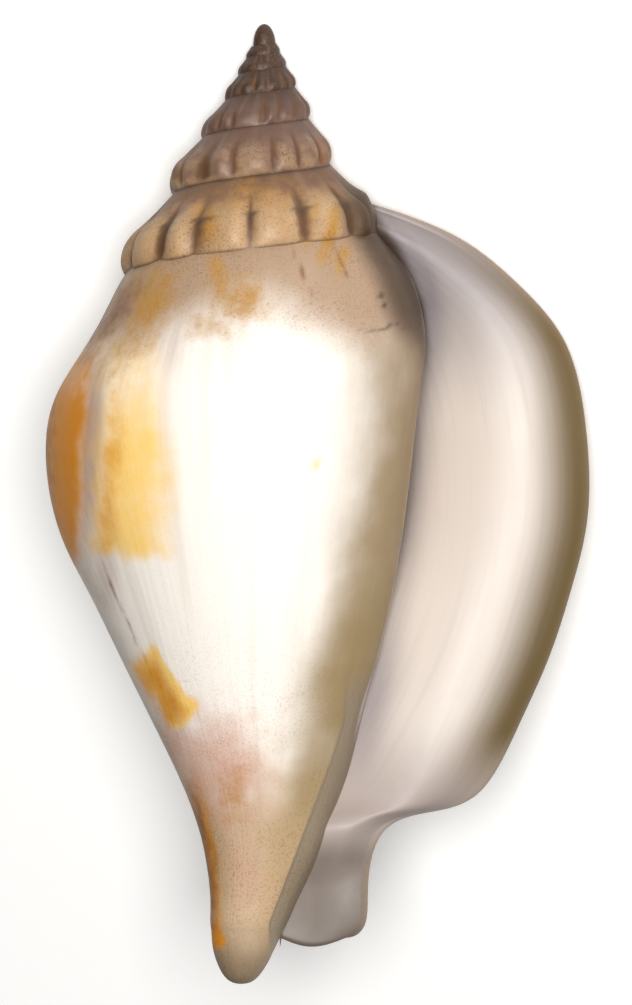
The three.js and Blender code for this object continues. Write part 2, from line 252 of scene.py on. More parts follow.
def lipSection(level):
    # the lip seen down the axis: it keeps the body's circle, flares out and rolls back
    sizes = bodySizes
    startTurn = sizes["lipStart"]
    rimX, rimY, rimZ, roll, rollWidth = np.split(stationAt(level)[:, 4:], 5, axis=1)
    level = level[:, None]
    startRadius, startY = bodySection(startTurn + 0 * level, level)
    thin = smooth((level - sizes["thinFrom"]) / sizes["thinSpan"])
    half = lerp(sizes["lipThickness"], sizes["canalThickness"], thin) / 2
    axisX = lean(startY)
    startAngle = 2 * np.pi * (startTurn - 1)
    endX = rimX - half - axisX
    endZ = rimZ - half + roll
    canal = smooth((level - sizes["canalFrom"]) / sizes["canalSpan"])
    flared = lerp(sizes["lipSharpness"], sizes["canalSharpness"], canal)
    clear = smooth((np.hypot(endX, endZ) / startRadius - sizes["clearFrom"]) / sizes["clearSpan"])
    sharpness = lerp(sizes["spireSharpness"], flared, clear)
    soon = 0.1  # of a turn, over which the suture's slope is read
    slope = (bodySection(startTurn + soon + 0 * level, level)[1] - startY) / soon * (1 - startTurn)

    def place(share):
        reach = np.hypot(endX, endZ)
        pinch = 1 - sizes["lipPinch"] * share ** 2 * (1 - share)
        radius = startRadius * pinch + (reach - startRadius) * np.maximum(share, 1e-6) ** sharpness
        angle = lerp(startAngle, np.arctan2(endZ, endX), share)
        rolled = roll * np.maximum(0, 1 - (reach - radius) / rollWidth) ** 2 * smooth(2 * share)
        return np.stack([axisX + radius * np.cos(angle), radius * np.sin(angle) - rolled], -1)

    def tangent(share):
        step = place(share + 0.001) - place(share - 0.001)
        return step / np.linalg.norm(step, axis=-1, keepdims=True)

    def height(share):
        sag = smooth((level - 1 + sizes["lobeLevels"]) / sizes["lobeLevels"]) * np.sin(np.pi * share ** 4)
        straight = lerp(startY, rimY, smooth(share))
        return straight + slope * share * (1 - share) ** 2 - sizes["lobeSag"] * sag

    endX = endX + tangent(np.ones((1, 1)))[..., 1] * half
    return place, tangent, height, half, rimY


def raised(flat, height, normal, distance):
    x = flat[..., 0] + normal[..., 0] * distance
    z = flat[..., 1] + normal[..., 1] * distance
    return np.stack([x, height, z], -1)


def buildBody():
    sizes = bodySizes
    levelCount = (len(bodyStations) - 1) * sizes["levelsPerStation"] + 1
    level = np.linspace(0, 1, levelCount)
    column = level[:, None]
    lipPlace, lipTangent, lipHeight, half, rimY = lipSection(level)
    bodyTurns = np.linspace(0, sizes["lipStart"], sizes["bodyColumns"] + 1) + 0 * column
    outerBody = aboutAxis(bodyTurns, *bodySection(bodyTurns, column + 0 * bodyTurns))

    run = np.arange(1, sizes["lipColumns"] + 1)[None, :] / sizes["lipColumns"]
    share = 1 - (1 - run) ** sizes["bunching"] + 0 * column
    flat = lipPlace(share)
    tangent = lipTangent(share)
    height = lipHeight(share)
    inward = np.stack([-tangent[..., 1], tangent[..., 0]], -1)
    lowest = clamp((column - 1) / sizes["edgeLevels"] + 1)
    taper = np.sqrt(np.maximum(sizes["edgeLeast"], 1 - lowest ** 2))
    outerLip = raised(flat, height, inward, half * (1 - taper))
    tucked = lerp(sizes["tuckedShare"], 1, smooth(column / sizes["tuckedLevels"]))[..., None]
    outerLip[..., 0::2] *= tucked

    angle = (np.pi * np.arange(1, sizes["rimColumns"]) / sizes["rimColumns"])[None, :]
    rimFlat = flat[:, -1:] + tangent[:, -1:] * (half * taper * np.sin(angle))[..., None]
    rim = raised(rimFlat, rimY + 0 * angle, inward[:, -1:], half - half * taper * np.cos(angle))

    fromRim = smooth((1 - run) / sizes["rimFade"])
    callus = sizes["callusThickness"] * smooth(1 - column / sizes["callusLevels"]) * fromRim
    parietal = sizes["parietalThickness"] * fromRim * smooth(run / sizes["parietalRise"])
    parietal = parietal * smooth((sizes["parietalEnd"] - column) / sizes["parietalSpan"])
    wall = np.minimum(sizes["wallThickness"], 2 * half)
    thick = lerp(wall, 2 * half, run) + callus + parietal
    innerLip = raised(flat, height, inward, half + (thick - half) * taper)[:, ::-1]
    lipTurns = np.arctan2(innerLip[..., 2], innerLip[..., 0] - lean(innerLip[..., 1])) / (2 * np.pi)

    hollowTurns = np.linspace(sizes["lipStart"], sizes["hollowEnd"], sizes["hollowColumns"] + 1) + 0 * column
    radius, y = bodySection(hollowTurns, column + 0 * hollowTurns)
    innerHollow = aboutAxis(hollowTurns, np.maximum(sizes["hollowLeast"], radius - wall), y)
    inner = np.concatenate([innerLip, innerHollow], 1)
    turns = np.concatenate([lipTurns, hollowTurns - 1], 1)
    turns[:, 0] = 0
    # the body's face under the lip follows the lip round, always a little further back
    for i in range(1, turns.shape[1]):
        turns[:, i] = np.minimum(turns[:, i], turns[:, i - 1] - 0.001)
    height = inner[..., 1].copy()
    height[:, 0] = bodySection(0 * level, level)[1]
    radius = bodyRadius(turns, height)
    reach = np.hypot(inner[..., 0] - lean(inner[..., 1]), inner[..., 2])
    reach[:, 0] = radius[:, 0]
    covered = aboutAxis(turns, np.minimum(radius, reach), height)

    outer = np.concatenate([outerBody, outerLip, rim], 1)
    loop = np.concatenate([outer, inner, covered[:, :0:-1]], 1)
    count = loop.shape[1]
    outerCount = outer.shape[1]
    innerCount = inner.shape[1]
    firstLip = sizes["bodyColumns"]
    lastLip = firstLip + sizes["lipColumns"]
    faces = []
    for k in range(levelCount - 1):
        for i in range(count):
            j = (i + 1) % count
            faces.append((k * count + i, k * count + j, (k + 1) * count + j, (k + 1) * count + i))

    # growth lines run along these: turns on the body, millimetres across the lip
    across = np.cumsum(np.linalg.norm(np.diff(loop, axis=1), axis=2), 1)
    across = sizes["lipStart"] * sizes["growthScale"] + across - across[:, lastLip - 1:lastLip]
    around = np.concatenate([
        bodyTurns * sizes["growthScale"], across[:, firstLip:outerCount + innerCount - 1],
        turns[:, :0:-1] * sizes["growthScale"]], 1)
    # which part of the surface each vertex is on: 0 outside and 1 the lip's inner face
    side = np.zeros(loop.shape[:2])
    side[:, lastLip + 1:outerCount] = np.linspace(0, 1, sizes["rimColumns"] + 1)[1:-1]
    side[:, outerCount:outerCount + innerCount] = 1
    side[:, outerCount + innerCount:] = sizes["underLip"]

    # the top, which the spire covers
    places = [loop.reshape(-1, 3), np.array([[0, bodyStations[0][3], 0]])]
    arounds = [around.ravel(), np.zeros(1)]
    total = levelCount * count
    for i in range(outerCount):
        faces.append((total, (i + 1) % outerCount, i))
    total += 1

    # the lip's lower edge, and the ring of the tip beside it
    foot = (levelCount - 1) * count
    coveredFoot = [foot] + [foot + count - i for i in range(1, innerCount)]
    for i in range(sizes["lipColumns"]):
        outside = foot + firstLip + i
        inside = foot + outerCount + innerCount - sizes["hollowColumns"] - 1 - i
        faces.append((outside, outside + 1, inside - 1, inside))
    for i in range(sizes["rimColumns"] // 2):
        a, b = foot + lastLip + i, foot + lastLip + i + 1
        c, d = foot + outerCount - i, foot + outerCount - i - 1
        faces.append((a, b, d, c) if b != d else (a, b, c))
    for i in range(sizes["lipColumns"], innerCount - 1):
        a, b = foot + outerCount + i, foot + outerCount + i + 1
        faces.append((a, b, coveredFoot[i + 1], coveredFoot[i]))
    ring = [foot + i for i in range(firstLip + 1)] + coveredFoot[sizes["lipColumns"]:0:-1]
    ringPlaces = loop[-1][np.array(ring) - foot]
    ringAround = around[-1][np.array(ring) - foot]
    angles = np.arctan2(ringPlaces[:, 2], ringPlaces[:, 0] - lean(ringPlaces[:, 1])) / (2 * np.pi)
    tip = splineThrough(sizes["tipRings"])
    for step in range(1, sizes["tipSteps"]):
        tipRadius, tipY = tip(step / sizes["tipSteps"])
        places.append(aboutAxis(angles, np.full(len(ring), tipRadius), np.full(len(ring), tipY)))
        arounds.append(ringAround)
        below = [total + i for i in range(len(ring))]
        for i in range(len(ring)):
            j = (i + 1) % len(ring)
            faces.append((ring[i], ring[j], below[j], below[i]))
        ring = below
        total += len(ring)
    places.append(np.array([[float(lean(0.0)), 0.0, 0.0]]))
    arounds.append(np.zeros(1))
    faces.extend((a, b, total) for a, b in zip(ring, ring[1:] + ring[:1]))

    places = np.concatenate(places)
    inside = np.concatenate([side.ravel(), np.zeros(len(places) - side.size)])
    return places, faces, inside, np.concatenate(arounds)


def addObject(name, data):
    item = bpy.data.objects.new(name, data)
    bpy.context.scene.collection.objects.link(item)
    return item


def addNode(tree, kind, links=(), give=0, **settings):
    # links holds a value or another node's output for each socket, by name or in order
    node = tree.nodes.new(kind)
    for name, value in settings.items():
        setattr(node, name, value)
    for socket, value in links.items() if isinstance(links, dict) else enumerate(links):
        target = node.inputs[socket]
        if isinstance(value, bpy.types.NodeSocket):
            tree.links.new(value, target)
        else:
            target.default_value = value
    return node if give is None else node.outputs[give]


def buildSpire(material):
    # the spire is a strip wound on a spiral: a grid of turns by shares across the whorl, set in place
    # by the rule of its growth
    sizes = spireSizes
    tree = bpy.data.node_groups.new("spireWhorls", "GeometryNodeTree")
    node = partial(addNode, tree)
    maths = "ShaderNodeMath"
    numbers = {
        "Shell Length": shellSizes["length"], "Turns": float(sizes["turns"]),
        "Suture Radius": sizes["sutureRadius"], "Suture Depth": sizes["sutureDepth"],
        "Radius Growth": sizes["radiusGrowth"], "Depth Growth": sizes["depthGrowth"],
        "Apex Radius": sizes["apexRadius"], "Ribs per Turn": sizes["ribsPerTurn"],
        "Rib Phase": sizes["ribPhase"], "Rib Height": sizes["ribHeight"], "Rib Wander": sizes["ribWander"],
        "Rib Tops": sizes["ribTops"], "Sinking Turns": sizes["ribFade"], "Sunken Share": sizes["sunkenShare"],
        "First Ribs": sizes["firstRibs"], "Full Ribs": sizes["fullRibs"],
    }
    for name in numbers:
        tree.interface.new_socket(name, in_out="INPUT", socket_type="NodeSocketFloat")
    for name in ("Columns", "Rows", "Seed"):
        tree.interface.new_socket(name, in_out="INPUT", socket_type="NodeSocketInt")
    tree.interface.new_socket("Material", in_out="INPUT", socket_type="NodeSocketMaterial")
    tree.interface.new_socket("Geometry", in_out="OUTPUT", socket_type="NodeSocketGeometry")
    given = node("NodeGroupInput", give=None).outputs

    grid = node("GeometryNodeMeshGrid", {
        "Size X": 1.0, "Size Y": 1.0, "Vertices X": given["Columns"], "Vertices Y": given["Rows"]})
    place = node("ShaderNodeSeparateXYZ", [node("GeometryNodeInputPosition")], give=None).outputs
    turn = node(maths, [place[0], 0.5], operation="SUBTRACT")
    turn = node(maths, [turn, given["Turns"]], operation="MULTIPLY")
    across = node(maths, [place[1], 0.5], operation="ADD")
    shares = {}
    for name, points in spireCurves.items():
        curve = node("ShaderNodeFloatCurve", {"Value": across}, give=None)
        for x, y in points[1:-1]:
            curve.mapping.curves[0].points.new(x, y)
        curve.mapping.curves[0].points[0].location = points[0]
        curve.mapping.curves[0].points[-1].location = points[-1]
        curve.mapping.use_clip = False
        curve.mapping.update()
        shares[name] = curve.outputs[0]

    # radius and height of the suture above the whorl and of the one below it
    spread = node(maths, [given["Suture Radius"], given["Apex Radius"]], operation="SUBTRACT")
    radii = []
    heights = []
    for later in (0.0, 1.0):
        at = node(maths, [turn, later], operation="ADD")
        growth = node(maths, [given["Radius Growth"], at], operation="POWER")
        radii.append(node(maths, [spread, growth, given["Apex Radius"]], operation="MULTIPLY_ADD"))
        sinking = node(maths, [given["Depth Growth"], at], operation="POWER")
        depth = node(maths, [given["Suture Depth"], sinking], operation="MULTIPLY")
        heights.append(node(maths, [given["Shell Length"], depth], operation="SUBTRACT"))

    # the ribs are rounded knobs of uneven strength and spacing
    seeded = node(maths, [turn, given["Seed"]], operation="ADD")
    wander = node("ShaderNodeTexNoise", {"W": seeded, "Scale": sizes["wanderRate"], "Detail": 1.0},
                  noise_dimensions="1D")
    ribCount = node(maths, [turn, given["Ribs per Turn"], given["Rib Phase"]], operation="MULTIPLY_ADD")
    ribAngle = node(maths, [ribCount, 2 * math.pi], operation="MULTIPLY")
    astray = node(maths, [wander, 0.5], operation="SUBTRACT")
    ribAngle = node(maths, [astray, given["Rib Wander"], ribAngle], operation="MULTIPLY_ADD")
    wave = node(maths, [node(maths, [ribAngle], operation="COSINE"), 0.5, 0.5], operation="MULTIPLY_ADD")
    wave = node(maths, [wave, given["Rib Tops"]], operation="POWER")
    wave = node(maths, [wave, *sizes["ribRange"]], operation="MULTIPLY_ADD")
    strength = node(maths, [wander, *sizes["ribStrength"]], operation="MULTIPLY_ADD")
    young = node("ShaderNodeMapRange", {
        "Value": turn, "From Min": given["First Ribs"], "From Max": given["Full Ribs"]},
        interpolation_type="SMOOTHSTEP")
    rib = node(maths, [wave, strength], operation="MULTIPLY")
    rib = node(maths, [rib, node(maths, [shares["rib"], young], operation="MULTIPLY")], operation="MULTIPLY")

    # near its end the last whorl sinks under the lip
    toEnd = node(maths, [turn, -1.0], operation="MULTIPLY")
    toEnd = node(maths, [toEnd, given["Sinking Turns"]], operation="DIVIDE")
    fade = node("ShaderNodeMapRange", {"Value": toEnd}, interpolation_type="SMOOTHSTEP")
    lifted = node(maths, [node(maths, [rib, fade], operation="MULTIPLY"), given["Rib Height"], 1.0],
                  operation="MULTIPLY_ADD")
    rest = node(maths, [1.0, given["Sunken Share"]], operation="SUBTRACT")
    sunk = node(maths, [rest, fade, given["Sunken Share"]], operation="MULTIPLY_ADD")
    widening = node(maths, [radii[1], radii[0]], operation="SUBTRACT")
    radius = node(maths, [widening, shares["out"], radii[0]], operation="MULTIPLY_ADD")
    radius = node(maths, [radius, node(maths, [lifted, sunk], operation="MULTIPLY")], operation="MULTIPLY")
    falling = node(maths, [heights[1], heights[0]], operation="SUBTRACT")
    y = node(maths, [falling, shares["down"], heights[0]], operation="MULTIPLY_ADD")
    angle = node(maths, [turn, 2 * math.pi], operation="MULTIPLY")
    spot = node("ShaderNodeCombineXYZ", [
        node(maths, [radius, node(maths, [angle], operation="COSINE")], operation="MULTIPLY"), y,
        node(maths, [radius, node(maths, [angle], operation="SINE")], operation="MULTIPLY")])

    # the rounded first whorl closes the apex
    segments, rings = sizes["crownFaces"]
    crown = node("GeometryNodeMeshUVSphere", {"Segments": segments, "Rings": rings, "Radius": 1.0})
    crown = node("GeometryNodeTransform", {
        "Geometry": crown, "Translation": (0.0, sizes["crownHeight"], 0.0), "Scale": sizes["crown"]})
    pieces = []
    for mesh, known in ((grid, (turn, across, rib)), (crown, (-float(sizes["turns"]), 0.5, 0.0))):
        for name, value in zip(("turn", "across", "rib"), known):
            mesh = node("GeometryNodeStoreNamedAttribute", {
                "Geometry": mesh, "Name": name, "Value": value}, data_type="FLOAT", domain="POINT")
        pieces.append(mesh)
    pieces[0] = node("GeometryNodeSetPosition", {"Geometry": pieces[0], "Position": spot})
    both = node("GeometryNodeJoinGeometry", give=None)
    for piece in reversed(pieces):
        tree.links.new(piece, both.inputs[0])
    whole = node("GeometryNodeRealizeInstances", {"Geometry": both.outputs[0]})
    whole = node("GeometryNodeSetMaterial", {"Geometry": whole, "Material": given["Material"]})
    node("NodeGroupOutput", {"Geometry": whole}, give=None)

    holder = addObject("spireHolder", bpy.data.meshes.new("spireHolder"))
    modifier = holder.modifiers.new("spireWhorls", "NODES")
    modifier.node_group = tree
    numbers.update({"Columns": sizes["turns"] * sizes["columnsPerTurn"] + 1, "Rows": sizes["rows"] + 1,
                    "Seed": sizes["seed"], "Material": material})
    for item in tree.interface.items_tree:
        if item.in_out == "INPUT":
            modifier[item.identifier] = numbers[item.name]
    shaped = holder.evaluated_get(bpy.context.evaluated_depsgraph_get())
    mesh = bpy.data.meshes.new_from_object(shaped)
    holder.modifiers.remove(modifier)
    bpy.data.objects.remove(holder)
    return mesh


# Stains and scars as [x, y, half width, half length, lean in degrees, side fade, top fade, bottom fade,
# strength] in the shell's own frame; a few along the outlines hold painted shade. The bold stains set in
# slowly at their top and end at once.
shellMarks = {
    "orange": [
        (-10.3, 40.2, 2.6, 6.8, -3, 0.6, 0.9, 0.14, 0.86),
        (-9.3, 38.4, 2.5, 5.2, -3, 0.7, 0.95, 0.12, 0.66),
        (-10.4, 47.5, 2.3, 2.6, -14, 0.6, 0.8, 0.8, 0.5),
        (-7.7, 23.3, 1.3, 3.0, 36, 0.25, 0.3, 0.2, 1.0),
        (4.0, 40.5, 0.35, 0.4, 0, 0.6, 0.6, 0.2, 0.5),
    ],
    "amber": [
        # along the left outline this orange stain is deepened with painted shade
        (-15.9, 40.6, 2.0, 8.6, -4, 0.45, 0.6, 0.12, 1.0),
        (-11.9, 39.6, 0.9, 6.2, -4, 0.9, 0.8, 0.2, 0.42),
        # the same near the left outline higher up: stain deepened with painted shade
        (-14.6, 47.6, 1.3, 3.2, -28, 0.6, 0.9, 0.9, 0.7),
        (-3.8, 3.9, 0.65, 1.0, 20, 0.6, 0.6, 0.2, 0.9),
        (-8.3, 23.1, 1.1, 2.9, 36, 0.7, 0.7, 0.3, 0.66),
        (-4.5, 9.5, 0.8, 5.0, 7, 0.8, 0.8, 0.8, 0.9),
    ],
    "rust": [
        (-9.0, 52.6, 1.7, 3.2, -25, 0.9, 0.9, 0.9, 0.85),
        (-11.2, 49.2, 1.2, 2.4, -25, 0.9, 0.9, 0.9, 0.5),
        (-3.4, 55.0, 0.7, 2.0, 14, 0.9, 0.9, 0.9, 0.8),
        (-1.6, 52.9, 1.7, 1.8, 25, 0.95, 0.95, 0.95, 0.75),
        (-3.6, 51.2, 2.0, 1.0, 20, 0.95, 0.95, 0.95, 0.5),
        (-4.4, 58.9, 0.9, 1.5, 10, 0.8, 0.8, 0.8, 0.85),
        (1.4, 59.6, 0.5, 2.0, 6, 0.8, 0.8, 0.8, 0.5),
        (3.6, 59.2, 0.5, 1.8, -14, 0.8, 0.8, 0.8, 0.6),
        (5.2, 58.6, 0.5, 2.4, -16, 0.8, 0.8, 0.8, 0.8),
        (6.0, 56.2, 0.5, 1.4, -14, 0.8, 0.8, 0.8, 0.7),
        (-0.5, 61.2, 3.6, 1.6, 0, 0.9, 0.9, 0.9, 0.36),
        (-2.4, 15.2, 1.2, 2.2, 10, 0.9, 0.9, 0.9, 0.35),
    ],
    "brown": [
        # a dark edge along the left outline: painted shade
        (-17.0, 40.5, 0.8, 8.5, -3, 0.9, 0.9, 0.5, 0.4),
        (-4.9, 9.8, 0.6, 5.2, 7, 0.8, 0.8, 0.8, 0.7),
        (-10.8, 29.0, 0.14, 4.6, 24, 0.9, 0.9, 0.9, 0.55),
        (3.0, 55.3, 0.16, 1.9, 22, 0.9, 0.9, 0.9, 0.6),
        (6.0, 56.0, 0.2, 1.6, 26, 0.9, 0.9, 0.9, 0.5),
        (-11.6, 52.0, 0.9, 3.8, -36, 0.9, 0.9, 0.9, 0.6),
        # the next two darken the spire's right side: painted shade
        (9.6, 59.5, 2.2, 3.2, 0, 0.9, 0.9, 0.9, 0.6),
        (5.2, 64.6, 1.2, 2.4, 0, 0.9, 0.9, 0.9, 0.5),
    ],
    "grey": [
        (-13.2, 41.6, 0.8, 7.5, -3, 0.7, 0.9, 0.9, 0.9),
        (-12.3, 33.0, 0.9, 3.6, 16, 0.8, 0.8, 0.8, 0.5),
        (-7.4, 49.6, 1.3, 2.6, -20, 0.9, 0.9, 0.9, 0.4),
    ],
    "pink": [
        (-3.4, 17.0, 3.4, 4.4, 10, 0.95, 0.95, 0.95, 0.66),
        (-1.5, 9.0, 1.8, 4.0, 10, 0.9, 0.9, 0.9, 0.4),
        (-6.3, 18.6, 1.4, 3.0, 28, 0.9, 0.9, 0.9, 0.6),
    ],
    "olive": [
        (7.3, 26.0, 2.8, 8.0, -18, 0.99, 0.95, 0.95, 0.85),
        (3.9, 17.5, 1.6, 6.0, -20, 0.9, 0.9, 0.9, 0.6),
        (9.4, 36.5, 1.4, 7.0, -10, 0.9, 0.9, 0.9, 0.5),
    ],
    "pit": [
        (9.0, 53.5, 0.17, 0.22, 0, 0.6, 0.6, 0.6, 1.0),
        (9.4, 52.8, 0.15, 0.2, 0, 0.6, 0.6, 0.6, 1.0),
        (9.6, 51.2, 0.13, 0.2, 0, 0.6, 0.6, 0.6, 0.8),
        (-3.9, 46.6, 0.08, 0.5, 0, 0.7, 0.7, 0.7, 0.5),
        (-3.3, 46.4, 0.08, 0.6, 0, 0.7, 0.7, 0.7, 0.5),
        (9.4, 51.0, 1.6, 0.09, 2, 0.9, 0.9, 0.9, 0.6),
    ],
}

# The back, which the photograph doesn't show, keeps the same kinds of stain
backMarks = {
    "orange": [
        (-8.0, 40.5, 2.2, 6.8, 4, 0.4, 0.6, 0.2, 0.8),
        (1.5, 38.0, 2.6, 6.0, 3, 0.4, 0.6, 0.2, 0.75),
        (10.5, 41.5, 1.6, 5.5, -6, 0.5, 0.7, 0.2, 0.6),
        (-2.0, 24.0, 1.6, 3.0, -8, 0.4, 0.6, 0.2, 0.7),
        (19.5, 38.0, 1.8, 7.0, -5, 0.6, 0.8, 0.8, 0.5),
    ],
    "amber": [
        (-12.8, 39.0, 1.4, 6.0, 4, 0.5, 0.8, 0.8, 0.6),
    ],
    "rust": [
        (-5.0, 52.0, 1.6, 2.6, 16, 0.9, 0.9, 0.9, 0.7),
        (4.6, 53.0, 1.4, 2.2, -18, 0.9, 0.9, 0.9, 0.7),
        (-3.0, 58.4, 0.9, 1.6, 0, 0.8, 0.8, 0.8, 0.7),
        (2.0, 60.5, 2.6, 1.6, 0, 0.9, 0.9, 0.9, 0.4),
    ],
    "brown": [
        (-4.2, 9.0, 0.8, 5.0, 0, 0.8, 0.8, 0.8, 0.6),
        (7.5, 30.0, 0.25, 6.0, -14, 0.9, 0.9, 0.9, 0.5),
        (13.8, 37.0, 0.2, 8.5, -8, 0.9, 0.9, 0.9, 0.5),
    ],
    "grey": [
        (-4.6, 40.0, 0.9, 7.5, 4, 0.7, 0.9, 0.9, 0.6),
        (6.4, 39.0, 0.9, 7.5, -4, 0.7, 0.9, 0.9, 0.6),
    ],
    "pink": [
        (0.5, 16.0, 3.0, 4.0, 0, 0.9, 0.9, 0.9, 0.7),
    ],
    "olive": [
        (21.5, 44.0, 2.5, 7.0, 2, 0.9, 0.9, 0.9, 0.6),
        (3.0, 21.0, 2.0, 4.0, 0, 0.9, 0.9, 0.9, 0.4),
    ],
    "pit": [
        (4.0, 47.5, 0.2, 0.3, 0, 0.6, 0.6, 0.6, 0.8),
        (-9.0, 33.5, 0.18, 0.25, 0, 0.6, 0.6, 0.6, 0.8),
        (11.0, 29.0, 0.2, 0.2, 0, 0.6, 0.6, 0.6, 0.8),
    ],
}


# Stains wander a little from their straight shape
markSizes = {
    "sway": (0.16, 0.7, 0.6),  # sideways, and how fast it changes going up and across
    "ripples": [(0.25, 1.7, 0), (0.15, 4.1, 1)],  # up and down: how far, how fast, and from where
    "swayFrom": 0.3,  # scars narrower than this stay straight
    "swaySpan": 1.0,
    "facing": 5.0,  # a mark of the front fades out over this distance behind the middle
}

# Where each zone of colour or relief sets in: [place, span, strength]. A negative span ends it there
# instead. Lengths are in millimetres.
shellZones = {
    # by height
    "upper": (46.0, 8.0, 1.0),
    "violet": (60.8, 2.5, 0.6),
    "violetAbove": (65.0, 3.0, 0.35),
    "apex": (66.5, 5.0, 1.0),
    "tip": (24.0, -12.0, 0.85),
    "tipEnd": (7.0, -7.0, 0.9),
    "leftLimbShadeTop": (54.0, -6.0, 1.0),
    "dustAbove": (46.0, 10.0, 1.0),
    "dustBelow": (32.0, -20.0, 1.0),
    "glazeFoot": (17.0, 6.0, 0.85),
    "callusFoot": (44.5, 8.0, 0.9),
    "callusWidening": (44.0, 9.0, 2.1),
    "shadeAbove": (43.0, 15.0, 0.9),
    "shadeBelow": (30.0, -8.0, 0.45),
    "flange": (22.0, -8.0, 1.0),
    "lobe": (12.5, -3.0, 1.0),
    "bandFoot": (13.0, 7.0, 1.0),
    "bandTop": (62.0, -12.0, 1.0),
    "bandWidening": (54.0, -14.0, 1.5),
    # by how far forward it is
    "front": (-1.0, 2.0, 1.0),
    "rightLimbFrontShade": (-8.0, 8.0, 0.6),
    "callusFront": (-6.0, 5.0, 1.0),
    # by how far right it is of the body's right outline
    "rightLimbTanAndShade": (-8.5, 8.5, 1.0),
    "shadeBeside": (2.6, -2.0, 0.35),
    "shadeBesideBelow": (4.0, -3.0, 1.0),
    # the same of the left outline, of the callus ridge and of the callus's outer edge
    "leftLimbShade": (3.4, -3.4, 0.42),
    "callusInner": (-0.5, 2.4, 1.0),
    "callusOuter": (0.2, -1.0, 1.0),
    # by the growth lines' steps from the aperture
    "glazeEdge": (3.4, -1.4, 1.0),
    # on the spire: by turn, by share across the whorl, by rib and by how squarely it faces front or back
    "sutureShade": (-5.6, 1.0, 1.0),
    "knob": (0.05, 0.6, 1.0),
    "grooveFoot": (0.0, 0.2, 1.0),
    "groove": (0.1, -1.0, 1.0),
    "spireSideShade": (0.6, -0.5, 0.35),
}

zoneSizes = {
    "upperBow": (-1.0, 6.0, 3.0),  # the upper zone starts higher here: x, half width and how much
    "rightLimbBack": 0.35,
    "bandWidth": 4.0,  # the olive band with painted shade inside the rim, at its top
    "bandFade": 0.85,  # share of that
    "sutureShade": 0.75,
    "knob": (0.75, 0.3),  # everywhere, and what a rib adds
    "spireDust": 0.5,
}


def zone(name, value):
    place, span, strength = shellZones[name]
    return smooth((value - place) / span) * strength


def marked(name, places, onFront, onBack):
    # how strongly each place is marked, with the front's marks and the back's each kept to its own
    x, y, z = places.T
    sway, upwards, across = markSizes["sway"]
    wavedX = x + sway * np.sin(upwards * y + across * x)
    wavedY = y
    for reach, rate, begin in markSizes["ripples"]:
        wavedY = wavedY + reach * np.sin(rate * x + begin)
    amount = np.zeros(len(places))
    sides = [(row, z, onFront) for row in shellMarks[name]] + [(row, -z, onBack) for row in backMarks[name]]
    for row, facing, kept in sides:
        markX, markY, halfWidth, halfLength, tilt, sideFade, topFade, bottomFade, strength = row
        angle = math.radians(tilt)
        waving = smooth((halfWidth - markSizes["swayFrom"]) / markSizes["swaySpan"])
        dx = lerp(x, wavedX, waving) - markX
        dy = lerp(y, wavedY, waving) - markY
        aside = np.abs(dx * math.cos(angle) + dy * math.sin(angle)) / halfWidth
        along = (-dx * math.sin(angle) + dy * math.cos(angle)) / halfLength
        amount = np.maximum(amount, strength * kept * smooth(facing / markSizes["facing"] + 1.0)
                            * smooth((1 + sideFade - aside) / (2 * sideFade))
                            * smooth((1 + topFade - along) / (2 * topFade))
                            * smooth((1 + bottomFade + along) / (2 * bottomFade)))
    return amount


def restMatrix():
    roll, pitch = math.radians(shellSizes["restRoll"]), math.radians(shellSizes["restPitch"])
    return Matrix.Rotation(-pitch, 3, "X") @ Matrix.Rotation(roll, 3, "Y")


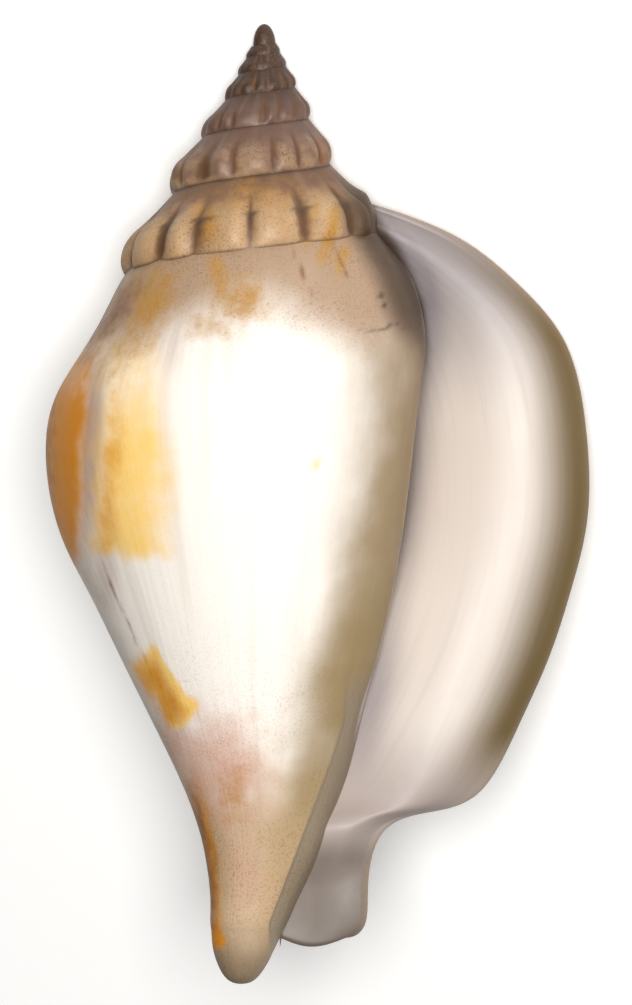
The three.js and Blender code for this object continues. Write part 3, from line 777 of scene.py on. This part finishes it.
# The shell is aragonite, laid down in thin layers under a horny skin that has worn away. Outside it is
# dull porcelain with stains, growth lines and pits, and painted shade towards its outlines, in its grooves,
# along its sutures and beside the lip. Inside the lip it has a smooth satin glaze, with painted shade too.
shellFinish = {
    "cream": "#f3ebe1",
    # tan towards the body's outlines, partly the shell's tan and partly painted shade
    "limb": "#9c8668",
    "upper": "#ac9178",
    "ramp": "#7d5d41",
    "knob": "#bc9c78",
    "violet": "#6c544b",
    "apex": "#46352c",
    "orange": "#f8cf7c",
    "amber": "#d38a0c",
    "rust": "#b4873f",
    # dark brown in the grooves between ribs, partly painted shade, and painted shade down the spire's sides
    "groove": "#644730",
    "brown": "#774812",
    "grey": "#b9a296",
    "pink": "#d2a594",
    "tip": "#bea481",
    "tipEnd": "#8c7a64",
    "olive": "#968158",
    "pit": "#4a3929",
    "glaze": "#d3c8be",
    "glazeShade": "#908788",
    # olive of the rolled-back rim, partly tint and partly painted shade
    "rimOliveAndShade": "#6c5a38",
    "flange": "#a99c95",
    "lobe": "#7a6f66",
    "facet": "#968772",
    # dark olive-brown of the band by the callus ridge, partly stain and partly painted shade
    "callusStainAndShade": "#412f1e",
    "ior": 1.54,
    "roughness": 0.56,
    "glazeRoughness": 0.58,
    "grainRoughness": 0.14,
    "coat": 0.04,
    "coatRoughness": 0.3,
    "reliefDepth": 0.00025,  # metres
    "reliefStrength": 0.35,
    "speckRelief": 0.15,
    "grainRelief": 0.25,
    "lineRelief": 0.5,
    "pitRelief": -1.0,
    "glazeRelief": 0.1,  # what is left of all this inside the lip
    "maskReach": 5.0,  # a stain is whole where its mask is above a fifth
    "dustSpecks": (0.52, 0.7),  # the specks' noise, from bare to full, and that of their patches
    "dustPatches": (0.3, 0.7),
    "dust": (0.6, 0.04),  # where the dust is thick, and everywhere
    "stagesFrom": 0.52,
    # steps to a metre: patches of 6 mm, blotches of 2 mm, grains of 1 mm and specks of a sixth of that
    "patches": 160.0,
    "blotches": 500.0,
    "grains": 900.0,
    "specks": 6000.0,
    # growth lines 0.6 mm apart and growth stages 3 mm apart, long in the other direction
    "growthLines": (1.6, 0.06, 1.0),
    "growthStages": (0.35, 0.03, 1.0),
}


def linearOf(hexColour):
    parts = [int(hexColour[i:i + 2], 16) / 255 for i in (1, 3, 5)]
    return [c / 12.92 if c <= 0.04045 else ((c + 0.055) / 1.055) ** 2.4 for c in parts] + [1.0]


def aragoniteMaterial():
    material = bpy.data.materials.new("wornAragonite")
    material.use_nodes = True
    tree = material.node_tree
    tree.nodes.clear()
    node = partial(addNode, tree)
    maths, noise, spread, mix = "ShaderNodeMath", "ShaderNodeTexNoise", "ShaderNodeMapRange", "ShaderNodeMix"
    finish = shellFinish
    masks = {name: node("ShaderNodeAttribute", give="Fac", attribute_name=name) for name in (
        "around", "along", "spire", "high", "limb", "tip", "tipEnd", "crest", "violet", "apex", "dusty",
        "inside", "shade", "flange", "lobe", "band", "facet", "edge", "callusStainAndShade", "sutureShade", "groove",
        *shellMarks)}

    place = node("ShaderNodeTexCoord", give="Object")
    patch = node(noise, {"Vector": place, "Scale": finish["patches"], "Detail": 4.0})
    blotch = node(noise, {"Vector": place, "Scale": finish["blotches"], "Detail": 6.0, "Roughness": 0.65})
    grain = node(noise, {"Vector": place, "Scale": finish["grains"], "Detail": 3.0})
    speck = node(noise, {"Vector": place, "Scale": finish["specks"], "Detail": 2.0})
    spiral = node("ShaderNodeCombineXYZ", [masks["around"], masks["along"]])
    lines = node("ShaderNodeMapping", {"Vector": spiral, "Scale": finish["growthLines"]})
    lines = node(noise, {"Vector": lines, "Scale": 1.0, "Detail": 3.0})
    stages = node("ShaderNodeMapping", {"Vector": spiral, "Scale": finish["growthStages"]})
    stages = node(noise, {"Vector": stages, "Scale": 1.0, "Detail": 2.0})

    # each layer of colour covers the one before, and its edge follows the grain under it
    layers = [
        # name, mask, what breaks its edge, how far, and half the width of the edge
        # the limb tan is partly painted shade towards the outlines
        ("limb", masks["limb"], patch, 0.7, 0.5),
        ("upper", masks["high"], patch, 0.7, 0.5),
        ("tip", masks["tip"], patch, 0.8, 0.5),
        ("tipEnd", masks["tipEnd"], patch, 0.6, 0.5),
        ("olive", masks["olive"], patch, 0.3, 0.6),
        ("pink", masks["pink"], blotch, 0.8, 0.5),
        ("grey", masks["grey"], lines, 0.5, 0.45),
        ("orange", masks["orange"], blotch, 0.6, 0.5),
        ("amber", masks["amber"], blotch, 0.7, 0.5),
        ("facet", masks["facet"], grain, 0.3, 0.45),
        ("glaze", masks["edge"], grain, 0.5, 0.5),
        ("ramp", masks["spire"], grain, 0.0, 0.5),
        ("knob", masks["crest"], blotch, 1.1, 0.5),
        ("violet", masks["violet"], grain, 0.8, 0.5),
        ("apex", masks["apex"], patch, 0.8, 0.5),
        ("rust", masks["rust"], blotch, 1.5, 0.55),
        # the groove layer is partly painted shade in the recesses and painted shade down the spire's sides
        ("groove", masks["groove"], grain, 0.7, 0.5),
        ("brown", masks["brown"], grain, 0.7, 0.45),
    ]
    colour = linearOf(finish["cream"])
    for name, mask, breaker, far, half in layers:
        pushed = node(maths, [breaker, 0.5], operation="SUBTRACT")
        pushed = node(maths, [pushed, far, mask], operation="MULTIPLY_ADD")
        cover = node(spread, {"Value": pushed, "From Min": 0.5 - half, "From Max": 0.5 + half},
                     interpolation_type="SMOOTHSTEP")
        within = node(maths, [mask, finish["maskReach"]], operation="MULTIPLY", use_clamp=True)
        cover = node(maths, [cover, within], operation="MULTIPLY")
        colour = node(mix, {0: cover, 6: colour, 7: linearOf(finish[name])}, give=2, data_type="RGBA")

    # a dust of fine brown specks, thicker near the spire and the tip, and faint growth stages
    bare, full = finish["dustSpecks"]
    dust = node(spread, {"Value": speck, "From Min": bare, "From Max": full})
    bare, full = finish["dustPatches"]
    dustier = node(spread, {"Value": patch, "From Min": bare, "From Max": full})
    dustier = node(maths, [dustier, masks["dusty"]], operation="MULTIPLY")
    dustier = node(maths, [dustier, *finish["dust"]], operation="MULTIPLY_ADD")
    dust = node(maths, [dust, dustier], operation="MULTIPLY")
    staged = node(maths, [stages, finish["stagesFrom"]], operation="SUBTRACT", use_clamp=True)
    for cover, name in ((dust, "brown"), (staged, "upper")):
        colour = node(mix, {0: cover, 6: colour, 7: linearOf(finish[name])}, give=2, data_type="RGBA")

    # inside the lip: white glaze, with painted shade at its top and beside the pillar, greyer on the flange
    # and the lobe, and an olive tint with painted shade along the rim
    glaze = linearOf(finish["glaze"])
    glazeLayers = [  # name, mask, and how far the growth lines push it
        ("glazeShade", masks["shade"], 0.12),
        ("flange", masks["flange"], 0.1),
        ("lobe", masks["lobe"], 0.1),
        ("rimOliveAndShade", masks["band"], 0.12),
    ]
    for name, mask, far in glazeLayers:
        cover = node(maths, [lines, 0.5], operation="SUBTRACT")
        cover = node(maths, [cover, far, mask], operation="MULTIPLY_ADD", use_clamp=True)
        glaze = node(mix, {0: cover, 6: glaze, 7: linearOf(finish[name])}, give=2, data_type="RGBA")
    # the suture's dark line, in the pits' colour, is painted shade in the crease between whorls
    for cover, end in ((masks["inside"], glaze), (masks["callusStainAndShade"], linearOf(finish["callusStainAndShade"])),
                       (masks["pit"], linearOf(finish["pit"])), (masks["sutureShade"], linearOf(finish["pit"]))):
        colour = node(mix, {0: cover, 6: colour, 7: end}, give=2, data_type="RGBA")

    relief = node(maths, [speck, finish["speckRelief"]], operation="MULTIPLY")
    for height, name in ((grain, "grainRelief"), (lines, "lineRelief"), (masks["pit"], "pitRelief")):
        relief = node(maths, [height, finish[name], relief], operation="MULTIPLY_ADD")
    outside = node(maths, [masks["inside"], finish["glazeRelief"] - 1.0, 1.0], operation="MULTIPLY_ADD")
    relief = node(maths, [relief, outside], operation="MULTIPLY")
    bump = node("ShaderNodeBump", {
        "Height": relief, "Strength": finish["reliefStrength"], "Distance": finish["reliefDepth"]})
    rough = node(maths, [grain, finish["grainRoughness"], finish["roughness"] - finish["grainRoughness"] / 2],
                 operation="MULTIPLY_ADD")
    change = finish["glazeRoughness"] - finish["roughness"]
    rough = node(maths, [masks["inside"], change, rough], operation="MULTIPLY_ADD")
    surface = node("ShaderNodeBsdfPrincipled", {
        "Base Color": colour, "Roughness": rough, "Normal": bump, "IOR": finish["ior"],
        "Coat Weight": finish["coat"], "Coat Roughness": finish["coatRoughness"]})
    node("ShaderNodeOutputMaterial", {"Surface": surface}, give=None)
    return material


def alongLine(points, y, fade):
    # x of a line of [x, y] points at a height, and how near the height is to the line's own stretch
    xs, ys = np.array(points[::-1]).T
    return np.interp(y, ys, xs), smooth((y - ys[0]) / fade + 1) * smooth((ys[-1] - y) / fade + 1)


def buildShell():
    material = aragoniteMaterial()
    spireMesh = buildSpire(material)
    print("spire wound", len(spireMesh.vertices))
    bodyPlaces, faces, bodyInside, bodyAround = buildBody()
    print("body and lip shaped", len(bodyPlaces))

    readings = {}
    for name in ("turn", "across", "rib"):
        readings[name] = np.zeros(len(spireMesh.vertices), np.float32)
        spireMesh.attributes[name].data.foreach_get("value", readings[name])
    turn, across, rib = (readings[name].astype(float) for name in ("turn", "across", "rib"))
    spirePlaces = np.zeros(len(spireMesh.vertices) * 3, np.float32)
    spireMesh.vertices.foreach_get("co", spirePlaces)
    spirePlaces = spirePlaces.reshape(-1, 3).astype(float)
    count = len(bodyPlaces)
    faces += [tuple(i + count for i in polygon.vertices) for polygon in spireMesh.polygons]
    bpy.data.meshes.remove(spireMesh)

    # how close each point of the last whorl comes to the body under it, which draws painted shade along the
    # suture
    bodyTurn = np.arctan2(spirePlaces[:, 2], spirePlaces[:, 0]) / (2 * np.pi) % 1.0
    spireReach = np.hypot(spirePlaces[:, 0], spirePlaces[:, 2])
    gap = spireReach - bodyRadius(bodyTurn, spirePlaces[:, 1])
    startLine, endLine = spireSizes["sutureShadeFades"]
    sutureLineShade = np.where(turn > -1.0, 0, bell((across - 1) / endLine)) + bell(across / startLine)
    sutureLineShade = np.where((turn > -1.0) & (across > 0.5), bell(gap / spireSizes["sutureShadeGap"]), sutureLineShade)
    spireFacing = np.abs(spirePlaces[:, 2]) / spireReach
    spirePlaces[:, 0] += lean(spirePlaces[:, 1])

    # from here on every reading covers the whole shell, with 0 where it says nothing
    whole = np.concatenate([bodyPlaces, spirePlaces])
    onSpire = np.concatenate([np.zeros(count), np.ones(len(spirePlaces))])
    onBody = 1 - onSpire
    inside = np.concatenate([bodyInside, np.zeros(len(spirePlaces))])
    around = np.concatenate([bodyAround, np.zeros(len(spirePlaces))])
    turn, across, rib, sutureLineShade, spireFacing = (
        np.concatenate([np.zeros(count), reading]) for reading in (turn, across, rib, sutureLineShade, spireFacing))
    x, y, z = whole.T
    # the front's marks run on over the body's face under the lip, and the back's don't
    unglazed = inside < bodySizes["underLip"] + 0.1
    outermost = inside < bodySizes["underLip"] - 0.1

    # the callus ridge beside the aperture and the crease down the pillar
    ridgeX, onRidge = alongLine(callusSizes["ridge"], y, callusSizes["ridgeFade"])
    bandX = alongLine(callusSizes["limb"], y, callusSizes["ridgeFade"])[0]
    creaseX, onCrease = alongLine(callusSizes["crease"], y, callusSizes["creaseFade"])
    pastCrease = smooth((x - creaseX) / callusSizes["creaseWidth"] + 0.5)
    lift = callusSizes["ridgeHeight"] * bell((x - ridgeX) / callusSizes["ridgeWidth"]) * onRidge
    lift -= callusSizes["creaseDepth"] * pastCrease * onCrease
    radius = np.hypot(x - lean(y), z)
    whole = whole.copy()
    for k, part in ((0, x - lean(y)), (2, z)):
        whole[:, k] += part / np.maximum(radius, 1.0) * lift * zone("front", z) * unglazed

    # distances from the body's two outlines and from the rim
    stations = np.array(bodyStations)
    fromRight = x - np.interp(y, stations[::-1, 1], stations[::-1, 0])
    fromLeft = x - lean(y) + np.interp(y, stations[::-1, 3], stations[::-1, 2])
    rim = stationAt(np.linspace(0, 1, 400))[:, 4:6]
    rim = rim[np.argsort(rim[:, 1])]
    fromRim = np.interp(y, rim[:, 1], rim[:, 0]) - x
    # the band along the rim is partly olive tint and partly painted shade where the rim rolls back
    bandWidth = zoneSizes["bandWidth"] + zone("bandWidening", y)
    bandCover = smooth((bandWidth - fromRim) / (zoneSizes["bandFade"] * bandWidth))
    bowX, bowWidth, bowHeight = zoneSizes["upperBow"]
    bow = bowHeight * bell((x - bowX) / bowWidth) * (z > 0)
    knobBase, knobRib = zoneSizes["knob"]
    values = {
        "spire": onSpire,
        "inside": inside,
        # painted shade: a dark line in the suture's crease between whorls
        "sutureShade": onSpire * zone("sutureShade", turn) * clamp(zoneSizes["sutureShade"] * sutureLineShade),
        # darker in the grooves between ribs, partly painted shade of the recesses, and painted shade down the
        # spire's sides
        "groove": onSpire * np.maximum(
            zone("groove", rib), zone("spireSideShade", spireFacing) * zone("grooveFoot", across)),
        "crest": onSpire * zone("knob", across) * (knobBase + knobRib * rib),
        "violet": onSpire * (zone("violet", y) + zone("violetAbove", y)),
        "apex": onSpire * zone("apex", y),
        "high": onBody * zone("upper", y - bow),
        # tan towards the body's two outlines, partly painted shade; on the right it is stronger on the front
        "limb": onBody * np.maximum(
            zone("rightLimbTanAndShade", fromRight) * (zoneSizes["rightLimbBack"] + zone("rightLimbFrontShade", z)),
            zone("leftLimbShade", fromLeft) * zone("leftLimbShadeTop", y)),
        "tip": zone("tip", y),
        "tipEnd": zone("tipEnd", y),
        "dusty": clamp(zone("dustAbove", y) + zone("dustBelow", y)) + zoneSizes["spireDust"] * onSpire,
        "shade": clamp(zone("shadeAbove", y) + zone("shadeBeside", fromRight)
                       + zone("shadeBelow", y) * zone("shadeBesideBelow", fromRight)),
        "flange": zone("flange", y),
        "lobe": zone("lobe", y),
        "band": bandCover * zone("bandFoot", y) * zone("bandTop", y),
        "edge": onBody * zone("glazeEdge", around) * zone("glazeFoot", y),
        "facet": onCrease * pastCrease * unglazed,
        # a dark band between the callus ridge and the lip: partly stain, partly painted shade in the angle
        # between body and lip
        "callusStainAndShade": onRidge * zone("callusFoot", y) * zone("callusFront", z)
                      * zone("callusInner", x - ridgeX + zone("callusWidening", y))
                      * zone("callusOuter", x - bandX),
        "around": around + turn * spireSizes["growthScale"],
        "along": onBody * y + across * spireSizes["growthAcross"],
    }
    values.update({name: marked(name, whole, unglazed, outermost) for name in shellMarks})

    turnToRest = np.array(restMatrix())
    rested = whole @ turnToRest.T
    low, high = rested.min(0), rested.max(0)
    shift = np.array([-(low[0] + high[0]) / 2, -(low[1] + high[1]) / 2, -low[2] - shellSizes["restFlat"]])
    rested += shift
    rested[:, 2] = np.maximum(rested[:, 2], 0.0)

    mesh = bpy.data.meshes.new("conchShell")
    mesh.from_pydata((rested / 1000).tolist(), [], faces)
    mesh.materials.append(material)
    for name, value in values.items():
        layer = mesh.attributes.new(name, "FLOAT", "POINT")
        layer.data.foreach_set("value", np.asarray(value, np.float32))
    mesh.validate()
    mesh.shade_smooth()
    return addObject("conchShell", mesh), Vector(shift) / 1000


shell, shift = buildShell()
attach(shell, "root")
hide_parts("conch_shell")
print("shell placed")

# Floor, light and camera. The camera looks straight into the aperture, as the shell lies.
studio = {
    "floorHalf": 2.0,
    "floor": "#fbfaf8",
    "floorGlow": 0.12,  # the paper is lit a little from below
    "floorRoughness": 0.9,
    "lens": 250.0,
    "sensor": 36.0,
    "pixelsPerMetre": 12800.0,
    "imageSize": (632, 1005),
    "axisPixel": (264.3, 984.0),  # where the axis meets the tip's end in the frame
    "keyDistance": 0.9,
    "keySize": 0.3,
    "keyPower": 8.2,
    "fill": 0.06,
}

half = studio["floorHalf"]
corners = [(-half, -half, 0), (half, -half, 0), (half, half, 0), (-half, half, 0)]
floorMesh = bpy.data.meshes.new("floor")
floorMesh.from_pydata(corners, [], [(0, 1, 2, 3)])
floor = addObject("floor", floorMesh)
paper = bpy.data.materials.new("mattPaper")
paper.use_nodes = True
paperShader = paper.node_tree.nodes["Principled BSDF"]
paperShader.inputs["Base Color"].default_value = linearOf(studio["floor"])
paperShader.inputs["Roughness"].default_value = studio["floorRoughness"]
paperShader.inputs["Emission Color"].default_value = linearOf(studio["floor"])
paperShader.inputs["Emission Strength"].default_value = studio["floorGlow"]
floorMesh.materials.append(paper)

width, height = studio["imageSize"]
axisX, axisY = studio["axisPixel"]
turning = restMatrix()
aim = turning @ Vector((width / 2 - axisX, axisY - height / 2, 0)) / studio["pixelsPerMetre"] + shift
upwards = turning @ Vector((0, 1, 0))
towards = turning @ Vector((0, 0, 1))
facing = Matrix((upwards.cross(towards), upwards, towards)).transposed().to_4x4()
distance = height / studio["pixelsPerMetre"] * studio["lens"] / studio["sensor"]
cameraData = bpy.data.cameras.new("camera")
cameraData.lens = studio["lens"]
cameraData.sensor_width = studio["sensor"]
camera = addObject("camera", cameraData)
camera.matrix_world = Matrix.Translation(aim + towards * distance) @ facing
bpy.context.scene.camera = camera

keyData = bpy.data.lights.new("softbox", "AREA")
keyData.shape = "DISK"
keyData.size = studio["keySize"]
keyData.energy = studio["keyPower"]
key = addObject("softbox", keyData)
key.matrix_world = Matrix.Translation(aim + towards * studio["keyDistance"]) @ facing

world = bpy.data.worlds.new("studio")
world.use_nodes = True
background = world.node_tree.nodes["Background"]
background.inputs["Color"].default_value = (1.0, 1.0, 1.0, 1.0)
background.inputs["Strength"].default_value = studio["fill"]
bpy.context.scene.world = world
bpy.context.scene.view_settings.view_transform = "Standard"
bpy.context.scene.view_settings.look = "Medium High Contrast"
print("studio set")
